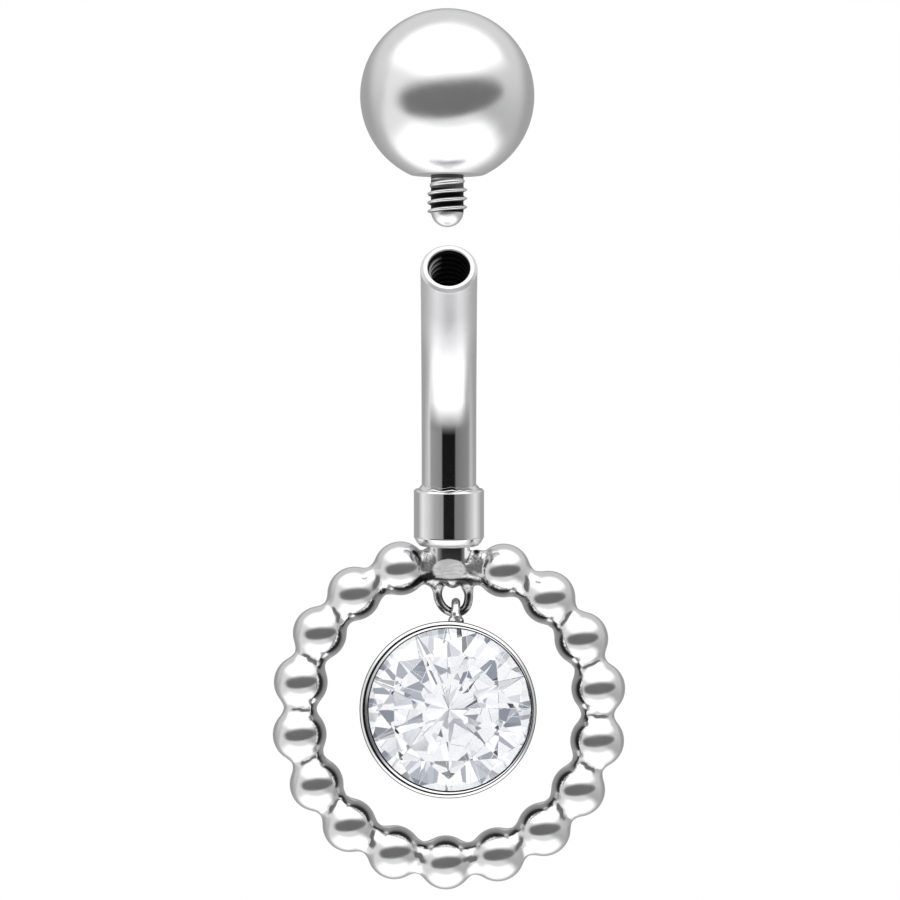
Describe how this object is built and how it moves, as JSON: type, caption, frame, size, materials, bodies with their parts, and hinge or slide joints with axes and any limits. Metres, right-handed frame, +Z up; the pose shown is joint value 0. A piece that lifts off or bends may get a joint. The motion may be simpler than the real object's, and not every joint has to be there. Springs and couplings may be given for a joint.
{
  "type": "navel ring",
  "caption": "Curved steel bar with a screw-on ball and a collar that carries a ring of beads; a round clear stone in a cup swings inside the ring from a wire loop.",
  "frame": {"origin": "the middle of the curved bar, on its axis, where the skin would sit round it", "axes": "+Z up from the bead ring to the ball; the front is at -Y, where the bar bends towards; +X to the right seen from the front"},
  "size_m": [0.0104, 0.0069, 0.0256],
  "materials": {
    "ball_steel": "mirror polished steel",
    "thread_steel": "bright turned thread",
    "bar_steel": "mirror polished steel",
    "collar_steel": "mirror polished steel",
    "ring_steel": "polished cast steel, ground and soldered at the bridge",
    "cup_steel": "mirror polished steel",
    "stone": "clear cut stone, polished"
  },
  "bodies": {
    "root": {"curved_bar": "bar_steel", "collar": "collar_steel", "bead_ring": "ring_steel"},
    "ball": {"top_ball": "ball_steel", "ball_stud": "thread_steel"},
    "drop": {"drop_cup": "cup_steel", "drop_stone": "stone"}
  },
  "joints": [
    {"name": "ball_lift_off", "type": "slide", "parent": "root", "child": "ball", "axis": [0, 0, 1], "range_m": [0, 0.01]},
    {"name": "drop_swing", "type": "hinge", "parent": "root", "child": "drop", "pos_m": [0.0002, 0.00174, -0.00744], "axis": [1, 0, 0], "range_deg": [-78, 72]}
  ]
}
